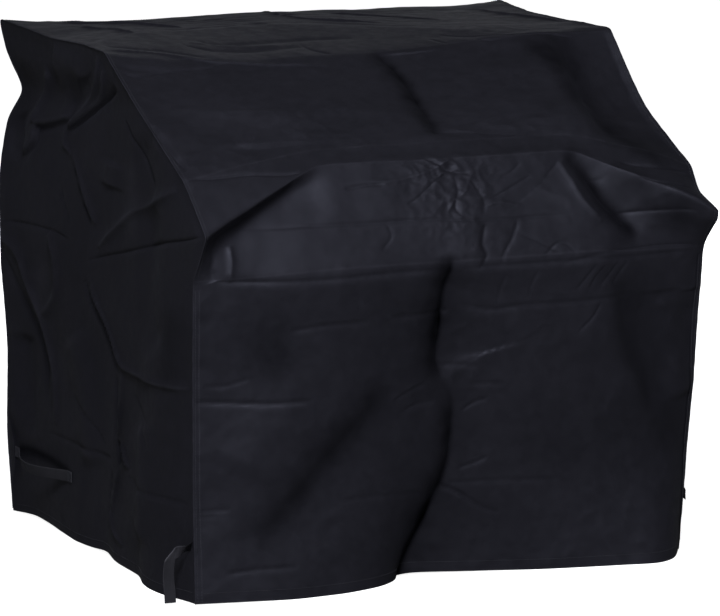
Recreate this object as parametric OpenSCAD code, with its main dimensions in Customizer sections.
// Fitted grill cover: a near-cubic fabric cover with a sloped hood front,
// a tented ledge over the lid handle, a straight apron, turned hems,
// webbing straps at the front corners and slack webbing loops low at the rear.
// Frame: origin on the hem plane at the centre of the whole outline, with the
// ledge, straps and loops included, +X to the right seen from the front,
// the front towards -Y, +Z up.

/* [Cover size] */
// Width of the cover over its side panels
cover_w = 1200; // [900:10:1700]
// Depth from the apron's front face to the back panel's outer face
cover_d = 1020; // [900:10:1300]
// Height of the flat top above the hem
cover_h = 1100; // [1000:10:1300]

/* [Profile] */
// Distance from the apron's front face back to the front edge of the flat top
top_setback = 440; // [200:10:500]
// Height of the crease where the hood slope meets the handle tent
shoulder_z = 858; // [820:2:900]
// Distance of that crease behind the apron's front face
shoulder_setback = 42; // [20:2:80]
// Height of the tent's outer edge over the lid handle
ledge_z = 764; // [740:2:790]
// How far the tent's outer edge stands in front of the apron
ledge_out = 67; // [30:1:100]
// Height of the apron's top edge
apron_z = 668; // [600:2:700]

/* [Fabric] */
// Thickness of the coated woven fabric
fabric_t = 1; // [0.8:0.1:2]
// Height of the turned hem inside the bottom edge
hem_h = 24; // [15:1:40]
// Width of the binding tape along the inside seams
tape_w = 20; // [12:1:30]
// Width of the felled seam band beside each front corner
band_w = 15; // [8:1:25]

/* [Webbing] */
// Width of the webbing
web_w = 25; // [20:1:40]
// Thickness of the webbing
web_t = 1.6; // [1.2:0.1:2.4]
// Height of the rear loops' centre line above the hem
loop_z = 140; // [100:2:260]
// Distance of a rear loop's back end from the back panel's outer face
loop_back_gap = 8; // [4:1:40]
// Straight length of a loop over its two sewn ends
loop_span = 340; // [280:5:400]
// How far a loop bulges away from the side panel
loop_bulge = 36; // [30:1:60]
// Length of each sewn-down end of a loop
loop_tab = 24; // [16:1:40]
// Height of the front straps' base tabs above the hem, to their centre line
strap_z = 118; // [100:2:220]
// Length of the strap's base tab
strap_base = 40; // [30:1:70]
// Length of the hanging tail
strap_tail = 112; // [80:1:116]

/* [Hook and loop] */
// Length of each hook-and-loop patch
patch_l = 40; // [20:1:44]
// Thickness of each hook-and-loop patch
patch_t = 1.2; // [0.8:0.1:2]

/* [Hidden] */

fabric_color = [0.115, 0.115, 0.14];
lining_color = [0.16, 0.16, 0.18];
tape_color = [0.09, 0.09, 0.10];
web_color = [0.17, 0.17, 0.19];
patch_color = [0.06, 0.06, 0.065];

half_w = cover_w / 2;
// Front face of the apron and outer face of the back panel
front_y = (ledge_out - cover_d) / 2;
back_y = front_y + cover_d;
// Small gap between fabric layers; also the overlap of a loop's tab and band
layer_gap = 0.02;
// First free position inside a panel, measured from its outer face
lining_in = fabric_t + layer_gap;
// Gap from a tape's end to the hem or tape next to it
tape_end_gap = 1;
// Clearance of a felled seam's top below the apron's top edge, fabric aside
felled_top_gap = 6;

// Outer side profile as [y, z], from the front hem over the top to the back hem
profile = [
  [front_y, 0],
  [front_y, apron_z],
  [front_y - ledge_out, ledge_z],
  [front_y + shoulder_setback, shoulder_z],
  [front_y + top_setback, cover_h],
  [back_y, cover_h],
  [back_y, 0]
];
// Runs of the profile, each numbered by its first point
apron_run = 0;
tent_lower_run = 1;
tent_upper_run = 2;
hood_run = 3;
top_run = 4;
back_run = 5;

// Normal of the run from start to end, on its right-hand side: the cover's inside
function inward(start, end) =
  let (along = (end - start) / norm(end - start)) [along[1], -along[0]];
// The path moved inward by a distance, mitred at its corners and square at its ends
function inset(path, distance) =
  let (last = len(path) - 1)
  [
    for (i = [0 : last])
      let (
        before = inward(path[max(i - 1, 0)], path[max(i, 1)]),
        after = i == last ? before : inward(path[i], path[i + 1])
      )
      path[i] + distance * (before + after) / (1 + before * after)
  ];
// The same path with its two hem ends lifted to a height
function lifted(path, height) = [
  for (i = [0 : len(path) - 1])
    i == 0 || i == len(path) - 1 ? [path[i][0], height] : path[i]
];
function backwards(path) = [for (i = [len(path) - 1 : -1 : 0]) path[i]];

// Pushes a [y, z] outline along X from x0 to x1
module along_x(x0, x1) {
  translate([x0, 0, 0]) rotate([90, 0, 90]) linear_extrude(height = x1 - x0) children();
}

module on_right() { mirror([1, 0, 0]) children(); }

/* Cover: pieces with two sides are drawn on the left */
inner_profile = inset(profile, fabric_t);

// One flat panel of the centre strip, mitred to its neighbours
module strip(run) {
  along_x(-half_w + fabric_t, half_w - fabric_t)
    polygon([profile[run], profile[run + 1], inner_profile[run + 1], inner_profile[run]]);
}

module side_panel() {
  along_x(-half_w, -half_w + fabric_t) polygon(profile);
}

// Tape that binds the long seam between the centre strip and a side panel
module seam_tape() {
  end_z = hem_h + tape_end_gap;
  outer_face = lifted(inset(profile, lining_in), end_z);
  inner_face = lifted(inset(profile, lining_in + fabric_t), end_z);
  along_x(-half_w + lining_in, -half_w + lining_in + tape_w)
    polygon(concat(outer_face, backwards(inner_face)));
}

// Tape inside the seam between top and back, held clear of both side tapes
module back_top_tape() {
  half_l = half_w - lining_in - layer_gap - tape_w - tape_end_gap;
  translate([-half_l, back_y - lining_in - fabric_t, cover_h - lining_in - tape_w])
    cube([2 * half_l, fabric_t, tape_w]);
}

// Side hem, fitted between the front and back hems
module side_hem() {
  end_in = lining_in + fabric_t + layer_gap;
  translate([-half_w + lining_in, front_y + end_in, 0])
    cube([fabric_t, cover_d - 2 * end_in, hem_h]);
}

// Front or back hem, with its front face at y
module cross_hem(y) {
  translate([-half_w + lining_in, y, 0]) cube([cover_w - 2 * lining_in, fabric_t, hem_h]);
}

// Raised felled seam beside a front corner, on the apron's outer face
module felled_seam() {
  translate([-half_w, front_y - fabric_t, 0])
    cube([band_w, fabric_t, apron_z - 2 * fabric_t - felled_top_gap]);
}

/* Rear webbing loop: a slack band, its ends sewn flat on the side panel.
   The middle is a separate piece from the two ends. */
// Gap between the side panel and the flat tabs
loop_clear = 0.05;
loop_y0 = back_y - loop_back_gap - loop_span;
loop_mid_y = loop_y0 + loop_span / 2;
// Half length of the free span between the tabs
free_half = loop_span / 2 - loop_tab;
// Half length of the middle piece, as a share of the free span
middle_half = free_half * 0.62;
// Gap between the middle piece and each end piece
middle_gap = 1;
// Straight segments along each piece
middle_steps = 12;
end_steps = 5;

// Gap from the side panel to the band's inner face, at a distance from its middle
function band_off(distance) = loop_bulge * cos(90 * distance / free_half) + loop_clear;
// [x, y] points along the band, offset outward from its inner face
function band_line(from, to, steps, offset) = [
  for (i = [0 : steps])
    let (distance = from + (to - from) * i / steps)
    [-half_w - band_off(distance) - offset, loop_mid_y + distance]
];

// Curved length of webbing between two distances from the loop's middle
module band(from, to, steps) {
  translate([0, 0, loop_z - web_w / 2]) linear_extrude(height = web_w)
    polygon(concat(
      band_line(from, to, steps, 0),
      backwards(band_line(from, to, steps, web_t))
    ));
}

// One end, at the back for side = 1 and at the front for side = -1
module loop_end(side) {
  tab_y = side > 0 ? loop_mid_y + free_half - layer_gap : loop_y0;
  band(side * (middle_half + middle_gap), side * free_half, end_steps);
  translate([-half_w - loop_clear - web_t, tab_y, loop_z - web_w / 2])
    cube([web_t, loop_tab + layer_gap, web_w]);
}

module loop_ends() {
  loop_end(1);
  loop_end(-1);
}

module loop_middle() { band(-middle_half, middle_half, middle_steps); }

/* Front strap: its base tab points sideways from the corner, and its tail
   hangs down towards the hem, beyond the tab and just in front of it. */
// Root of the strap, clear of the side panel and of the felled seam
strap_x = -half_w - 6;
strap_y = front_y - fabric_t - 7;
// Gaps between tail and base tab, from front to back and sideways
fold_gap = 0.4;
tail_side_gap = 1;
tail_x = strap_x - strap_base - tail_side_gap - web_w;
tail_y = strap_y - web_t - fold_gap;
tail_z = strap_z - strap_tail;
// Margin from a patch to each long edge of the tail
patch_margin = 2;
// The hook patch sits above the tail's end, the loop patch above the hook patch
hook_patch_z = tail_z + 3;
loop_patch_z = hook_patch_z + patch_l + 4;

module strap_base_tab() {
  translate([strap_x - strap_base, strap_y - web_t / 2, strap_z - web_w / 2])
    cube([strap_base, web_t, web_w]);
}

module strap_tail_band() {
  translate([tail_x, tail_y - web_t / 2, tail_z]) cube([web_w, web_t, strap_tail]);
}

// Patch on the back face of the tail
module patch(z) {
  translate([tail_x + patch_margin, tail_y + web_t / 2, z])
    cube([web_w - 2 * patch_margin, patch_t, patch_l]);
}

// The right strap rests swung back along the side panel, a quarter turn from
// the left one's mirror image. Its root stands a little behind the corner.
right_root_y = front_y + 36;
module back_along_right_side() {
  translate([-strap_x, right_root_y, 0]) rotate([0, 0, 90])
    translate([strap_x, -strap_y, 0]) on_right() children();
}

// The left strap reaches further out than the right rear loop, so the whole
// cover is moved to put the origin in the middle of its outline
left_reach = -tail_x;
right_reach = half_w + loop_bulge + loop_clear + web_t;
module placed() { translate([(left_reach - right_reach) / 2, 0, 0]) children(); }

// Panels
module top_panel() { color(fabric_color) strip(top_run); }
module hood_slope_panel() { color(fabric_color) strip(hood_run); }
module handle_tent_upper_panel() { color(fabric_color) strip(tent_upper_run); }
module handle_tent_lower_panel() { color(fabric_color) strip(tent_lower_run); }
module front_apron_panel() { color(fabric_color) strip(apron_run); }
module back_panel() { color(fabric_color) strip(back_run); }
module left_side_panel() { color(fabric_color) side_panel(); }
module right_side_panel() { color(fabric_color) on_right() side_panel(); }

// Turned hems
module front_hem() { color(lining_color) cross_hem(front_y + lining_in); }
module back_hem() { color(lining_color) cross_hem(back_y - lining_in - fabric_t); }
module left_hem() { color(lining_color) side_hem(); }
module right_hem() { color(lining_color) on_right() side_hem(); }

// Seam bindings
module left_seam_tape() { color(tape_color) seam_tape(); }
module right_seam_tape() { color(tape_color) on_right() seam_tape(); }
module back_top_seam_tape() { color(tape_color) back_top_tape(); }

// Felled seams
module front_left_felled_seam() { color(fabric_color) felled_seam(); }
module front_right_felled_seam() { color(fabric_color) on_right() felled_seam(); }

// Rear webbing loops
module rear_left_loop_ends() { color(web_color) loop_ends(); }
module rear_right_loop_ends() { color(web_color) on_right() loop_ends(); }
module rear_left_loop() { color(web_color) loop_middle(); }
module rear_right_loop() { color(web_color) on_right() loop_middle(); }

// Front corner straps
module front_left_strap_base() { color(web_color) strap_base_tab(); }
module front_right_strap_base() { color(web_color) back_along_right_side() strap_base_tab(); }
module front_left_strap_tail() { color(web_color) strap_tail_band(); }
module front_right_strap_tail() { color(web_color) back_along_right_side() strap_tail_band(); }
module front_left_hook_patch() { color(patch_color) patch(hook_patch_z); }
module front_right_hook_patch() { color(patch_color) back_along_right_side() patch(hook_patch_z); }
module front_left_loop_patch() { color(patch_color) patch(loop_patch_z); }
module front_right_loop_patch() { color(patch_color) back_along_right_side() patch(loop_patch_z); }

placed() top_panel();
placed() hood_slope_panel();
placed() handle_tent_upper_panel();
placed() handle_tent_lower_panel();
placed() front_apron_panel();
placed() back_panel();
placed() left_side_panel();
placed() right_side_panel();
placed() front_hem();
placed() back_hem();
placed() left_hem();
placed() right_hem();
placed() left_seam_tape();
placed() right_seam_tape();
placed() back_top_seam_tape();
placed() front_left_felled_seam();
placed() front_right_felled_seam();
placed() rear_left_loop_ends();
placed() rear_right_loop_ends();
placed() rear_left_loop();
placed() rear_right_loop();
placed() front_left_strap_base();
placed() front_right_strap_base();
placed() front_left_strap_tail();
placed() front_right_strap_tail();
placed() front_left_hook_patch();
placed() front_right_hook_patch();
placed() front_left_loop_patch();
placed() front_right_loop_patch();
